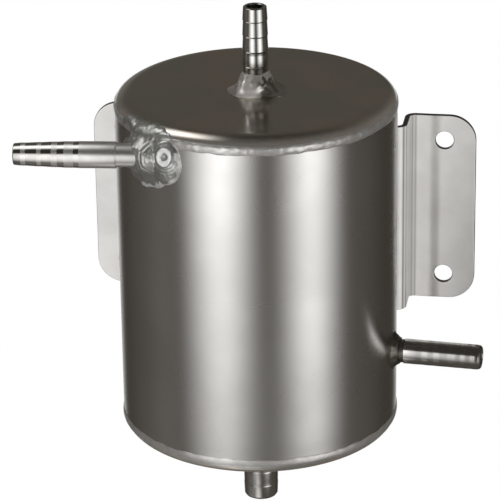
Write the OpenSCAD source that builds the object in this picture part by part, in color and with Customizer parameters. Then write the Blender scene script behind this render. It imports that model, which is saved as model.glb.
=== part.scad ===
// Fuel surge tank of about one litre: a welded aluminium can on a folded bracket,
// with three push-on hose tails and a larger feed tail underneath.
// Origin: middle of the four bracket holes, on the face that meets the bulkhead.
// +Y points into the bulkhead, +Z up along the tank's axis.

/* [Tank] */
// Outside diameter of the drawn tube
tank_d = 101.6; // [80:0.1:140]
// Wall of the drawn tube
tube_wall = 1.6; // [1.2:0.1:3]
// Height of the tank over both end caps
tank_h = 130; // [116:1:240]
// Sheet thickness of the pressed end caps
cap_wall = 2; // [1.5:0.1:3]
// Height of the caps' pressed edge curve
cap_edge_h = 4.8; // [4:0.1:9]
// Width of the caps' pressed edge curve, in from the rim
cap_edge_w = 6.3; // [4:0.1:12]
// Straight skirt below the edge curve, down to the seam
cap_skirt = 0.2; // [0.1:0.1:4]

/* [Rim welds] */
// Width of the ring bead on each seam
rim_bead_w = 4.2; // [3:0.1:6]
// Height of the ring bead over the wall
rim_bead_h = 0.35; // [0.2:0.05:1.2]
// Depth of the V that is filed into the seam before welding
seam_v = 1.1; // [0.5:0.1:1.1]

/* [Hose tails] */
// Diameter of the tails' plain shank and widest barb
tail_d = 9.4; // [8.8:0.1:11]
// Bore of the tails
tail_bore = 6; // [4.5:0.1:6.6]
// Number of barbs on each tail
barb_count = 4; // [3:1:4]
// Distance from one barb to the next
barb_pitch = 5.5; // [4.8:0.1:5.8]
// Depth of a barb's back face
barb_depth = 0.35; // [0.2:0.05:0.5]
// Length of a barb's back face
barb_back = 0.9; // [0.3:0.1:1.2]
// Length of the turned groove behind each barb
groove_l = 0.9; // [0.5:0.1:2]
// Radius by which the tails' root is turned down, from the shank to the tank
root_step = 0.4; // [0.2:0.05:0.5]
// Radius lost from one barb to the next, towards the tip
barb_taper = 0.06; // [0:0.01:0.12]

/* [Vent tail] */
// Length of the vent tail above the top cap
vent_l = 31; // [30:1:60]
// First barb of the vent tail, from its tip
vent_tip = 4.9; // [3:0.1:6]
// Height of the weld round the vent tail
vent_weld_h = 6; // [3:0.1:7]
// Radius of the weld round the vent tail, on the cap
vent_weld_r = 11.3; // [8:0.1:16]

/* [Inlet tail] */
// Clearance between the inlet tail and the ring bead above it
inlet_gap = 0.5; // [0.2:0.1:20]
// Distance of the inlet's axis from the tank's axis
inlet_offset = 36; // [20:0.1:38]
// Angle that the inlet swings forward from the bulkhead's line
inlet_swing = 5.2; // [0:0.1:15]
// Reach of the inlet's tip, from the point level with the tank's axis
inlet_reach = 83; // [82:0.1:110]
// Start of the inlet's bore inside the tank, from the same point
inlet_start = 25; // [22:0.1:27]
// First barb of the inlet tail, from its tip
inlet_tip = 4.4; // [3:0.1:6]
// End of the inlet's root, from the point level with the tank's axis
inlet_root = 46.8; // [44:0.1:50]

/* [Outlet tail] */
// Height of the outlet's axis above the tank's underside
outlet_h = 31.8; // [20:0.1:60]
// Angle that the outlet swings forward from the bulkhead's line
outlet_swing = 4.6; // [0:0.1:15]
// Length of the outlet tail outside the tank's wall
outlet_l = 32.5; // [31:0.1:60]
// First barb of the outlet tail, from its tip
outlet_tip = 3.6; // [3:0.1:6]
// Height of the weld round the outlet tail
outlet_weld_h = 3.4; // [2:0.1:4.5]
// Radius of the weld round the outlet tail
outlet_weld_r = 7.8; // [6.5:0.1:12]

/* [Feed tail] */
// Diameter of the feed tail under the tank
feed_d = 13; // [12:0.1:14]
// Bore of the feed tail
feed_bore = 9.5; // [7:0.1:10]
// Length of the feed tail below the bottom cap
feed_l = 32; // [28:1:60]
// First barb of the feed tail, from its tip
feed_tip = 3.9; // [3:0.1:6]
// Height of the weld round the feed tail
feed_weld_h = 3.5; // [2:0.1:6]
// Radius of the weld round the feed tail, on the cap
feed_weld_r = 9.5; // [8:0.1:14]

/* [Bracket] */
// Sheet thickness of the bracket
sheet = 2; // [1.5:0.1:4]
// Width over both flanges
bracket_w = 148; // [140:1:220]
// Height of the bracket
bracket_h = 75; // [50:1:84]
// Height of the bracket's middle above the tank's underside
bracket_mid = 61; // [55:1:70]
// Step from the middle panel back to the flanges
joggle = 14.6; // [12:0.1:40]
// Outer face of each web, from the middle
web_x = 49; // [40:0.1:52]
// Inside radius of the four folds
fold_r = 2; // [1:0.1:3]
// Radius of the flanges' outer corners
corner_r = 10; // [4:0.5:12]
// Sideways distance between the bolt holes
hole_pitch_x = 124; // [122:0.5:126]
// Upright distance between the bolt holes
hole_pitch_z = 55; // [30:0.5:57]
// Diameter of the bolt holes
hole_d = 7; // [5:0.1:9]
// Length of the weld at each end of the middle panel
bracket_weld_l = 26; // [10:1:30]
// Leg of that weld
bracket_weld_leg = 2.6; // [1.5:0.1:4]

/* [Hidden] */

$fn = 96;

tank_r = tank_d / 2;
tail_r = tail_d / 2;
feed_r = feed_d / 2;
// The tails' turned-down roots, which the holes and the welds take their size from
root_d = tail_d - 2 * root_step;
feed_root_d = feed_d - 2 * root_step;

// Height of a whole cap, from its flat face to the seam
cap_h = cap_edge_h + cap_skirt;
seam_low = cap_h;
seam_high = tank_h - cap_h;

// Height of the inlet's axis, hung from the upper seam
inlet_h = seam_high - rim_bead_w / 2 - inlet_gap - tail_r;

// The tank's axis lies this far in front of the bulkhead
axis_y = -(tank_r + sheet + joggle);

// Steps along each pressed edge curve, and across a ring bead
edge_steps = 14;
bead_steps = 12;
// Depth of each tail's end inside a wall
tail_inside = 2;
// Chamfer on the tails' tips
tip_chamfer = 0.7;
// Radius that the weld's bead keeps at its top, over the tail
weld_lip = 0.5;
// Shape of the welds' hollow flank, 1 is a plain cone
weld_flank = 1.5;
// Steps along a weld's flank
flank_steps = 10;
// Steps round the ends of the bracket's welds
end_steps = 6;
// A cut runs this far past the surface that it cuts
past = 1;

// Weld pool round the inlet: one broad pool, a lobe over the rim, and the last bead with its crater
pool_r = 17;
pool_rise = 3;
pool_along = 1.5;
pool_drop = 1;
lobe_r = 9;
lobe_rise = 1.6;
lobe_along = 11;
lobe_up = 6.9;
bead_r = 9.5;
bead_rise = 3.4;
bead_along = -8.6;
bead_drop = 0.1;
crater_r = 1.9;
crater_sink = 0.6;
drop_steps = 10;
// Depth of a drop's flat foot below the wall's surface, where the tank's form cuts it off
drop_foot = 3;

module place() {
    translate([0, axis_y, -bracket_mid])
        children();
}

// Outline of a cap's half section, seam at y = 0 and flat face at y = cap_h
function edge_curve(radius, wide, high) = [
    for (i = [0:edge_steps])
        let (a = 90 * i / edge_steps)
        [radius - wide + wide * cos(a), cap_h - cap_edge_h + high * sin(a)]
];

module cap_section() {
    outer = edge_curve(tank_r, cap_edge_w, cap_edge_h);
    inner = edge_curve(tank_r - cap_wall, cap_edge_w - cap_wall, cap_edge_h - cap_wall);
    backwards = [for (i = [edge_steps:-1:0]) inner[i]];
    polygon(concat(
        [[tank_r - cap_wall, 0], [tank_r - seam_v, 0], [tank_r, min(seam_v, cap_skirt)]],
        outer,
        [[0, cap_h], [0, cap_h - cap_wall]],
        backwards
    ));
}

module tube_section() {
    polygon([
        [tank_r - tube_wall, seam_low],
        [tank_r - seam_v, seam_low],
        [tank_r, seam_low + seam_v],
        [tank_r, seam_high - seam_v],
        [tank_r - seam_v, seam_high],
        [tank_r - tube_wall, seam_high]
    ]);
}

// How far the edge curve has fallen in from the wall, at a height over its foot
function edge_lean(up) = cap_edge_w * (1 - sqrt(1 - pow(max(0, up) / cap_edge_h, 2)));

// Crown of the ring bead at the upper seam, with the seam at y = 0
function bead_crown() = [
    for (i = [0:bead_steps])
        let (t = -1 + 2 * i / bead_steps, y = rim_bead_w / 2 * t)
        [tank_r + rim_bead_h * (1 - t * t) - edge_lean(y - cap_skirt), y]
];

// Half section of the ring bead at the upper seam
module bead_section() {
    top = rim_bead_w / 2;
    difference() {
        polygon(concat(bead_crown(), [[tank_r - edge_lean(top - cap_skirt) - seam_v, top], [tank_r - seam_v, 0]]));
        cap_section();
        translate([0, -seam_high])
            tube_section();
    }
}

// The tank's outer form with its upper ring bead, filled in, for cutting what sits on it;
// it is rounder than the rest, so that the cut's edges lie on the wall
module filled_tank() {
    crown = [for (p = bead_crown()) p + [0, seam_high]];
    edge = [for (p = edge_curve(tank_r, cap_edge_w, cap_edge_h)) if (p.y > rim_bead_w / 2) p + [0, seam_high]];
    rotate_extrude($fn = 2 * $fn)
        polygon(concat([[0, 0], [tank_r, 0]], crown, edge, [[0, tank_h]]));
}

// A turned hose tail on +Z, from its start inside the tank to the tip; its root ends under the shank
module turned_tail(start, root_end, reach, radius, bore, tip, barbs) {
    function crest_s(i) = reach - tip - i * barb_pitch;
    function crest_r(i) = radius - (barbs - 1 - i) * barb_taper;
    last = barbs - 1;
    barb_line = [
        for (i = [last:-1:0])
            each [
                [crest_r(i) - barb_depth, crest_s(i) - barb_back - groove_l],
                [crest_r(i) - barb_depth, crest_s(i) - barb_back],
                [crest_r(i), crest_s(i)]
            ]
    ];
    tip_r = crest_r(0) - barb_depth;
    root_r = radius - root_step;
    shank_end = crest_s(last) - barb_back - groove_l - barb_depth;
    shoulder = min(root_end, shank_end - root_step - past / 10);
    rotate_extrude()
        polygon(concat(
            [[bore / 2, start], [root_r, start], [root_r, shoulder], [radius, shoulder + root_step]],
            [[radius, shank_end]],
            barb_line,
            [[tip_r, reach - tip_chamfer], [tip_r - tip_chamfer, reach], [bore / 2, reach]]
        ));
}

// Hollow-sided ring of weld on +Z, standing on z = 0 round a tail
module weld_ring(radius, base_r, high, below) {
    flank = [
        for (i = [0:flank_steps])
            let (t = i / flank_steps)
            [base_r - (base_r - radius - weld_lip) * pow(t, 1 / weld_flank), high * t]
    ];
    rotate_extrude()
        polygon(concat([[radius, -below], [base_r, -below]], flank, [[radius, high + weld_lip / 2]]));
}

module along_inlet() {
    translate([0, 0, inlet_h])
        rotate([0, 0, 180 + inlet_swing])
            translate([0, inlet_offset, 0])
                rotate([0, 90, 0])
                    children();
}

module along_outlet() {
    translate([0, 0, outlet_h])
        rotate([0, 0, -outlet_swing])
            rotate([0, 90, 0])
                children();
}

// A point on the wall by the inlet: how far round it, in millimetres, and how far up
module by_inlet(along, up, out) {
    centre = 180 + inlet_swing + asin(inlet_offset / tank_r);
    rotate([0, 0, centre - along * 180 / (PI * tank_r)])
        translate([tank_r + out, 0, inlet_h + up])
            children();
}

module body_tube() {
    color("#b4b1ab")
    place()
    difference() {
        rotate_extrude()
            tube_section();
        along_inlet()
            translate([0, 0, inlet_start - past])
                cylinder(d = root_d, h = tank_r);
        along_outlet()
            cylinder(d = root_d, h = tank_r + past);
    }
}

module top_cap() {
    color("#6a6560")
    place()
    translate([0, 0, seam_high])
    difference() {
        rotate_extrude()
            cap_section();
        translate([0, 0, cap_h - cap_wall - past])
            cylinder(d = root_d, h = cap_wall + 2 * past);
    }
}

module bottom_cap() {
    color("#6a6560")
    place()
    translate([0, 0, seam_low])
    mirror([0, 0, 1])
    difference() {
        rotate_extrude()
            cap_section();
        translate([0, 0, cap_h - cap_wall - past])
            cylinder(d = feed_root_d, h = cap_wall + 2 * past);
    }
}

module top_rim_weld() {
    color("#8f8c86")
    place()
    translate([0, 0, seam_high])
        rotate_extrude()
            bead_section();
}

module bottom_rim_weld() {
    color("#8f8c86")
    place()
    translate([0, 0, seam_low])
    mirror([0, 0, 1])
        rotate_extrude()
            bead_section();
}

module vent_tail() {
    color("#c6c4bf")
    place()
    translate([0, 0, tank_h])
        turned_tail(-cap_wall - tail_inside, vent_weld_h + weld_lip, vent_l, tail_r, tail_bore, vent_tip, barb_count);
}

module vent_tail_weld() {
    color("#8f8c86")
    place()
    translate([0, 0, tank_h])
        weld_ring(root_d / 2, vent_weld_r, vent_weld_h, 0);
}

module inlet_tail() {
    color("#c6c4bf")
    place()
    along_inlet()
        turned_tail(inlet_start, inlet_root, inlet_reach, tail_r, tail_bore, inlet_tip, barb_count);
}

// Domed drop of weld metal on +Z, its top at the rise; a crater may sink its middle
module weld_drop(radius, rise, crater, sink) {
    low = asin((radius - rise - drop_foot) / radius);
    dome = [
        for (i = [0:drop_steps])
            let (a = low + (90 - low) * i / drop_steps)
            if (radius * cos(a) >= crater)
                [radius * cos(a), rise - radius + radius * sin(a)]
    ];
    hollow = crater > 0 ? [[crater / 2, rise - sink], [0, rise - sink]] : [];
    rotate_extrude()
        polygon(concat([[0, -drop_foot]], dome, hollow));
}

module inlet_tail_weld() {
    color("#8f8c86")
    place()
    difference() {
        union() {
            by_inlet(pool_along, -pool_drop, 0)
                rotate([0, 90, 0])
                    weld_drop(pool_r, pool_rise, 0, 0);
            by_inlet(lobe_along, lobe_up, 0)
                rotate([0, 90, 0])
                    weld_drop(lobe_r, lobe_rise, 0, 0);
            by_inlet(bead_along, -bead_drop, 0)
                rotate([0, 90, 0])
                    weld_drop(bead_r, bead_rise, crater_r, crater_sink);
        }
        filled_tank();
        along_inlet()
            cylinder(d = root_d, h = inlet_reach);
    }
}

module outlet_tail() {
    color("#c6c4bf")
    place()
    along_outlet()
        turned_tail(
            tank_r - tube_wall - tail_inside, tank_r + outlet_weld_h + weld_lip, tank_r + outlet_l,
            tail_r, tail_bore, outlet_tip, barb_count
        );
}

module outlet_tail_weld() {
    color("#8f8c86")
    place()
    difference() {
        along_outlet()
            translate([0, 0, tank_r])
                weld_ring(root_d / 2, outlet_weld_r, outlet_weld_h, tube_wall);
        cylinder(r = tank_r, h = tank_h);
    }
}

module feed_tail() {
    color("#a9a7a2")
    place()
    mirror([0, 0, 1])
        turned_tail(-cap_wall, feed_weld_h + weld_lip, feed_l, feed_r, feed_bore, feed_tip, barb_count);
}

module feed_tail_weld() {
    color("#8f8c86")
    place()
    mirror([0, 0, 1])
        weld_ring(feed_root_d / 2, feed_weld_r, feed_weld_h, 0);
}

// Quarter ring of sheet, centred at the origin, in the first quadrant
module fold() {
    intersection() {
        difference() {
            circle(r = fold_r + sheet);
            circle(r = fold_r);
        }
        square(fold_r + sheet);
    }
}

// Half of the folded sheet seen from above, middle at x = 0 and bulkhead at y = 0
module half_section() {
    panel_y = -joggle - sheet;
    outer = fold_r + sheet;
    translate([0, panel_y])
        square([web_x - outer, sheet]);
    translate([web_x - outer, panel_y + outer])
        mirror([0, 1])
            fold();
    translate([web_x - sheet, panel_y + outer])
        square([sheet, joggle + sheet - 2 * outer]);
    translate([web_x + fold_r, -outer])
        mirror([1, 0])
            fold();
    translate([web_x + fold_r, -sheet])
        square([bracket_w / 2 - web_x - fold_r, sheet]);
}

// Outline of the bracket seen from the front
module bracket_outline() {
    square([bracket_w - 2 * corner_r, bracket_h], center = true);
    square([bracket_w, bracket_h - 2 * corner_r], center = true);
    for (x = [-1, 1], z = [-1, 1])
        translate([x * (bracket_w / 2 - corner_r), z * (bracket_h / 2 - corner_r)])
            circle(r = corner_r);
}

module mounting_bracket() {
    deep = joggle + sheet;
    color("#bdbab5")
    difference() {
        intersection() {
            translate([0, 0, -bracket_h / 2])
                linear_extrude(bracket_h)
                    union() {
                        half_section();
                        mirror([1, 0])
                            half_section();
                    }
            rotate([90, 0, 0])
                translate([0, 0, -past])
                    linear_extrude(deep + 2 * past)
                        bracket_outline();
        }
        for (x = [-1, 1], z = [-1, 1])
            translate([x * hole_pitch_x / 2, past, z * hole_pitch_z / 2])
                rotate([90, 0, 0])
                    cylinder(d = hole_d, h = sheet + 2 * past);
    }
}

// Fillet between the end of the middle panel and the wall, above z = 0
module panel_weld() {
    straight = bracket_weld_l / 2 - bracket_weld_leg;
    round_end = [
        for (i = [0:end_steps])
            let (a = 90 * i / end_steps)
            [bracket_weld_leg * cos(a), straight + bracket_weld_leg * sin(a)]
    ];
    other_end = [for (i = [end_steps:-1:0]) [round_end[i].x, -round_end[i].y]];
    difference() {
        translate([0, tank_r, 0])
            rotate([0, 90, 0])
                rotate_extrude()
                    polygon(concat(round_end, other_end));
        translate([-bracket_weld_l, tank_r - 2 * bracket_weld_leg, -2 * bracket_weld_leg])
            cube([2 * bracket_weld_l, 4 * bracket_weld_leg, 2 * bracket_weld_leg]);
        translate([-bracket_weld_l, tank_r + sheet, -past])
            cube([2 * bracket_weld_l, 2 * bracket_weld_leg, 2 * bracket_weld_leg]);
        translate([0, 0, -past])
            cylinder(r = tank_r, h = bracket_weld_leg + 2 * past);
    }
}

module bracket_top_weld() {
    color("#8f8c86")
    place()
    translate([0, 0, bracket_mid + bracket_h / 2])
        panel_weld();
}

module bracket_bottom_weld() {
    color("#8f8c86")
    place()
    translate([0, 0, bracket_mid - bracket_h / 2])
        mirror([0, 0, 1])
            panel_weld();
}

body_tube();
top_cap();
bottom_cap();
top_rim_weld();
bottom_rim_weld();
vent_tail();
vent_tail_weld();
inlet_tail();
inlet_tail_weld();
outlet_tail();
outlet_tail_weld();
feed_tail();
feed_tail_weld();
mounting_bracket();
bracket_top_weld();
bracket_bottom_weld();
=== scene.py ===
import math

import bmesh
import bpy
import numpy as np
from mathutils import Matrix, Quaternion, Vector, noise


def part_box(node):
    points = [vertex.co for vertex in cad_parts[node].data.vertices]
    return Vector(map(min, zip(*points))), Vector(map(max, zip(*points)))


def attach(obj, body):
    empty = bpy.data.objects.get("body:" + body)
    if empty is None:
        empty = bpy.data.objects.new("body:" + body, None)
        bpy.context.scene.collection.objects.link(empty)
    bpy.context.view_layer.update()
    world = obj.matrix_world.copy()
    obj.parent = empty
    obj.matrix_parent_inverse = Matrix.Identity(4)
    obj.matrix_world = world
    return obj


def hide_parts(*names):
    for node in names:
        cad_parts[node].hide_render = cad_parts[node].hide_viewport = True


# Fuel surge tank: the looks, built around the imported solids. Lengths in the dictionaries are millimetres.

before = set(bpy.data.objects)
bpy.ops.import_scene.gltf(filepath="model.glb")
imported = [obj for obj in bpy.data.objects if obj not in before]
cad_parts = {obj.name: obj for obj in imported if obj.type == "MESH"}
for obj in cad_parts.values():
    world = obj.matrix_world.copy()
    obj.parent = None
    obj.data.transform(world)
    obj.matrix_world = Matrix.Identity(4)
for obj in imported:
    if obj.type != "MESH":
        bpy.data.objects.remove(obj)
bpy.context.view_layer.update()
mm = 0.001
print("surge tank: frame loaded")

# Places that the solids give
tubeLow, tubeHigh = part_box("body_tube")
axisX = (tubeLow.x + tubeHigh.x) / 2
axisY = (tubeLow.y + tubeHigh.y) / 2
tankR = (tubeHigh.x - tubeLow.x) / 2 / mm
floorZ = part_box("bottom_cap")[0].z
tankHigh = (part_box("top_cap")[1].z - floorZ) / mm
tankPlace = Matrix.Translation((axisX, axisY, floorZ)) @ Matrix.Scale(mm, 4)

# Camera

photoCamera = {
    "target": (-2.92, -67.87, 6.34),
    "azimuth": 9.14,
    "elevation": 22.63,
    "distance": 1103.5,
    "roll": -0.85,  # degrees
    "lens": 217.1,
}


def makeCamera(setup):
    turn, rise = math.radians(setup["azimuth"]), math.radians(setup["elevation"])
    back = Vector((math.sin(turn) * math.cos(rise), -math.cos(turn) * math.cos(rise), math.sin(rise)))
    data = bpy.data.cameras.new("photoCamera")
    data.lens = setup["lens"]
    data.sensor_width = 36
    data.clip_start, data.clip_end = 0.05, 50
    camera = bpy.data.objects.new("photoCamera", data)
    bpy.context.scene.collection.objects.link(camera)
    camera.location = (Vector(setup["target"]) + back * setup["distance"]) * mm
    camera.rotation_mode = "QUATERNION"
    roll = Quaternion((0, 0, 1), math.radians(setup["roll"]))
    camera.rotation_quaternion = (-back).to_track_quat("-Z", "Y") @ roll
    bpy.context.scene.camera = camera


makeCamera(photoCamera)
print("surge tank: camera placed")

# Nodes


def linear(code):
    # sRGB hex to the linear colour that shaders take
    channels = [int(code[i : i + 2], 16) / 255 for i in (1, 3, 5)]
    return tuple(c / 12.92 if c <= 0.04045 else ((c + 0.055) / 1.055) ** 2.4 for c in channels) + (1.0,)


def addNode(tree, kind, inputs=None, **settings):
    # a node with its settings; an input is a plain value, another node's socket, or a node's first output
    node = tree.nodes.new(kind)
    for name, value in settings.items():
        setattr(node, name, value)
    for key, value in (inputs or {}).items():
        if isinstance(value, bpy.types.Node):
            value = value.outputs[0]
        if isinstance(value, bpy.types.NodeSocket):
            tree.links.new(value, node.inputs[key])
        else:
            node.inputs[key].default_value = value
    return node


def newMaterial(name):
    material = bpy.data.materials.new(name)
    material.use_nodes = True
    tree = material.node_tree
    tree.nodes.clear()
    return material, tree


# Studio

studio = {
    "floorZ": -600,
    "floorHalf": 6000,
    "floorColour": "#FFFFFF",
    "floorShare": 0.8,  # of the floor's white that doesn't wait for light
    "tentRadius": 2000,
    "tentBelow": 560,
    "tentAbove": 2000,
    "tentLow": "#524E49",
    "tentHigh": "#3A3733",
    "tentBackLow": "#403C37",
    "tentBackHigh": "#57544F",
}

# Soft boxes that stand round the tank. Each faces its axis from a turn and a distance; across and up are its
# edges from that line and the axes' origin, and each edge fades over its softness, inside and outside alike:
# the left, right, lower and upper edge's.
uprightBoxes = {
    "leftSoftBox": {
        "turn": -32.5,
        "away": 264,
        "across": (-6, 148),
        "up": (-125, 138),
        "soft": (104, 123, 175, 40),
        "level": 1.87,
    },
    "rightSoftBox": {
        "turn": 52,
        "away": 743,
        "across": (-197, 180),
        "up": (-372, 240),
        "soft": (294, 294, 190, 64),
        "level": 1.78,
    },
}

# Level sheets over and under it: one soft box overhead, and the table's glow at two places
levelBoxes = {
    "overheadSoftBox": {"height": 200, "x": (-299, -62), "y": (-150, -67), "soft": 36, "level": 2.05},
    "leftTableGlow": {"height": -165, "x": (-90, -58), "y": (-313, -86), "soft": 80, "level": 0.42},
    "frontTableGlow": {"height": -165, "x": (-20, 220), "y": (-480, -247), "soft": 100, "level": 0.08},
    "underTableGlow": {"height": -165, "x": (-50, 5), "y": (-215, -125), "soft": 35, "level": 0.85},
}

# Wide glows on the tent itself: centre azimuth, half width, softness, lowest and highest elevation, softness, level
tentGlows = {
    "leftEdge": (-76, 12, 20, -60, 10, 12, 0.05),
    "behind": (189, 24, 8, -44, -4, 6, 0.7),
    "behindLeft": (-157, 11, 8, -6, 16, 4, 0.1),
}


def isSeen(tree):
    # 1 for what the camera sees straight, in a reflection or through glass
    path = addNode(tree, "ShaderNodeLightPath").outputs
    straight = addNode(
        tree, "ShaderNodeMath", {0: path["Is Camera Ray"], 1: path["Is Glossy Ray"]}, operation="MAXIMUM"
    )
    return addNode(tree, "ShaderNodeMath", {0: straight, 1: path["Is Transmission Ray"]}, operation="MAXIMUM")


def makeWorld():
    world = bpy.data.worlds.new("paleRoom")
    bpy.context.scene.world = world
    world.use_nodes = True
    tree = world.node_tree
    tree.nodes.clear()
    room = addNode(tree, "ShaderNodeBackground", {"Color": (1, 1, 1, 1), "Strength": 1.0})
    addNode(tree, "ShaderNodeOutputWorld", {"Surface": room})


def makeFloor():
    half = studio["floorHalf"] * mm
    level = studio["floorZ"] * mm
    mesh = bpy.data.meshes.new("paleFloor")
    corners = [(-half, -half, level), (half, -half, level), (half, half, level), (-half, half, level)]
    mesh.from_pydata(corners, [], [(0, 1, 2, 3)])
    material, tree = newMaterial("paleFloorPaint")
    paint = addNode(tree, "ShaderNodeBsdfDiffuse", {"Color": linear(studio["floorColour"])})
    white = addNode(tree, "ShaderNodeEmission", {"Color": (1, 1, 1, 1), "Strength": 1.0})
    share = addNode(tree, "ShaderNodeMath", {0: isSeen(tree), 1: studio["floorShare"]}, operation="MULTIPLY")
    both = addNode(tree, "ShaderNodeMixShader", {0: share, 1: paint, 2: white})
    addNode(tree, "ShaderNodeOutputMaterial", {"Surface": both})
    mesh.materials.append(material)
    floor = bpy.data.objects.new("paleFloor", mesh)
    bpy.context.scene.collection.objects.link(floor)


def onlyReflected(thing):
    # studio things show in reflections and nowhere else
    bpy.context.scene.collection.objects.link(thing)
    thing.visible_camera = False
    thing.visible_diffuse = False
    thing.visible_transmission = False
    thing.visible_volume_scatter = False
    thing.visible_shadow = False


def addSoftBox(name, place, across, up, soft, level):
    # a sheet of light in its own X and Y, which fades at its edges and lets what is behind it through
    material, tree = newMaterial(name)
    spot = addNode(
        tree, "ShaderNodeSeparateXYZ", {0: addNode(tree, "ShaderNodeTexCoord").outputs["Object"]}
    ).outputs
    glow = level
    sides = ((0, across[0], soft[0]), (0, across[1], -soft[1]), (1, up[0], soft[2]), (1, up[1], -soft[3]))
    for axis, edge, fade in sides:
        rise = addNode(
            tree,
            "ShaderNodeMapRange",
            {"Value": spot[axis], "From Min": (edge - fade) * mm, "From Max": (edge + fade) * mm},
            interpolation_type="SMOOTHSTEP",
        )
        glow = addNode(tree, "ShaderNodeMath", {0: rise, 1: glow}, operation="MULTIPLY")
    light = addNode(tree, "ShaderNodeEmission", {"Color": (1, 1, 1, 1), "Strength": glow})
    clear = addNode(tree, "ShaderNodeBsdfTransparent", {"Color": (1, 1, 1, 1)})
    both = addNode(tree, "ShaderNodeAddShader", {0: light, 1: clear})
    addNode(tree, "ShaderNodeOutputMaterial", {"Surface": both})
    left, right = (across[0] - soft[0]) * mm, (across[1] + soft[1]) * mm
    low, high = (up[0] - soft[2]) * mm, (up[1] + soft[3]) * mm
    mesh = bpy.data.meshes.new(name)
    mesh.from_pydata([(left, low, 0), (right, low, 0), (right, high, 0), (left, high, 0)], [], [(0, 1, 2, 3)])
    mesh.materials.append(material)
    sheet = bpy.data.objects.new(name, mesh)
    sheet.matrix_world = place
    onlyReflected(sheet)


def makeSoftBoxes():
    upright = Matrix.Rotation(math.radians(90), 4, "X")
    for name, box in uprightBoxes.items():
        turn = math.radians(box["turn"])
        centre = (axisX + box["away"] * math.sin(turn) * mm, axisY - box["away"] * math.cos(turn) * mm, 0)
        place = Matrix.Translation(centre) @ Matrix.Rotation(turn, 4, "Z") @ upright
        addSoftBox(name, place, box["across"], box["up"], box["soft"], box["level"])
    for name, box in levelBoxes.items():
        place = Matrix.Translation((0, 0, box["height"] * mm))
        addSoftBox(name, place, box["x"], box["y"], (box["soft"],) * 4, box["level"])


def makeTent():
    # a dark tent round it all, a little lighter low down and behind
    material, tree = newMaterial("studioTent")
    place = addNode(tree, "ShaderNodeTexCoord").outputs["Object"]
    whole = addNode(tree, "ShaderNodeVectorMath", {0: place}, operation="NORMALIZE")
    height = addNode(tree, "ShaderNodeSeparateXYZ", {0: whole}).outputs["Z"]
    steep = addNode(tree, "ShaderNodeMath", {0: height}, operation="ARCSINE")
    rise = addNode(tree, "ShaderNodeMath", {0: steep, 1: 180 / math.pi}, operation="MULTIPLY")
    level = addNode(tree, "ShaderNodeVectorMath", {0: place, 1: (1, 1, 0)}, operation="MULTIPLY")
    ahead = addNode(tree, "ShaderNodeVectorMath", {0: level}, operation="NORMALIZE")
    depth = addNode(tree, "ShaderNodeSeparateXYZ", {0: whole}).outputs["Y"]
    up = addNode(
        tree,
        "ShaderNodeMapRange",
        {"Value": rise, "From Min": -5.0, "From Max": 20.0},
        interpolation_type="SMOOTHSTEP",
    )
    behind = addNode(
        tree,
        "ShaderNodeMapRange",
        {"Value": depth, "From Min": 0.2, "From Max": 0.7},
        interpolation_type="SMOOTHSTEP",
    )
    front = addNode(
        tree,
        "ShaderNodeMix",
        {"Factor": up, 6: linear(studio["tentLow"]), 7: linear(studio["tentHigh"])},
        data_type="RGBA",
    )
    back = addNode(
        tree,
        "ShaderNodeMix",
        {"Factor": up, 6: linear(studio["tentBackLow"]), 7: linear(studio["tentBackHigh"])},
        data_type="RGBA",
    )
    wall = addNode(
        tree, "ShaderNodeMix", {"Factor": behind, 6: front.outputs[2], 7: back.outputs[2]}, data_type="RGBA"
    )
    glow = addNode(tree, "ShaderNodeEmission", {"Color": wall.outputs[2], "Strength": 1.0})
    for centre, half, soft, low, high, softUp, strength in tentGlows.values():
        turn = math.radians(centre)
        aim = (math.sin(turn), -math.cos(turn), 0)
        along = addNode(tree, "ShaderNodeVectorMath", {0: ahead, 1: aim}, operation="DOT_PRODUCT")
        off = addNode(tree, "ShaderNodeMath", {0: along.outputs["Value"]}, operation="ARCCOSINE")
        away = addNode(tree, "ShaderNodeMath", {0: off, 1: 180 / math.pi}, operation="MULTIPLY")
        panel = strength
        limits = [(away, half + soft, half - soft), (rise, low - softUp, low + softUp)]
        limits.append((rise, high + softUp, high - softUp))
        for value, start, end in limits:
            fade = addNode(
                tree,
                "ShaderNodeMapRange",
                {"Value": value, "From Min": start, "From Max": end},
                interpolation_type="SMOOTHSTEP",
            )
            panel = addNode(tree, "ShaderNodeMath", {0: fade, 1: panel}, operation="MULTIPLY")
        light = addNode(tree, "ShaderNodeEmission", {"Color": (1, 1, 1, 1), "Strength": panel})
        glow = addNode(tree, "ShaderNodeAddShader", {0: glow, 1: light})
    addNode(tree, "ShaderNodeOutputMaterial", {"Surface": glow})

    form = bmesh.new()
    bmesh.ops.create_uvsphere(form, u_segments=64, v_segments=40, radius=1.0)
    for vertex in form.verts:
        high = studio["tentAbove"] if vertex.co.z > 0 else studio["tentBelow"]
        vertex.co.x *= studio["tentRadius"] * mm
        vertex.co.y *= studio["tentRadius"] * mm
        vertex.co.z *= high * mm
    mesh = bpy.data.meshes.new("studioTent")
    form.to_mesh(mesh)
    form.free()
    mesh.materials.append(material)
    tent = bpy.data.objects.new("studioTent", mesh)
    tent.location = (axisX, axisY, 0)
    onlyReflected(tent)


bpy.context.scene.view_settings.view_transform = "Standard"
makeWorld()
makeFloor()
makeTent()
makeSoftBoxes()
print("surge tank: studio lit")

# Metals


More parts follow.
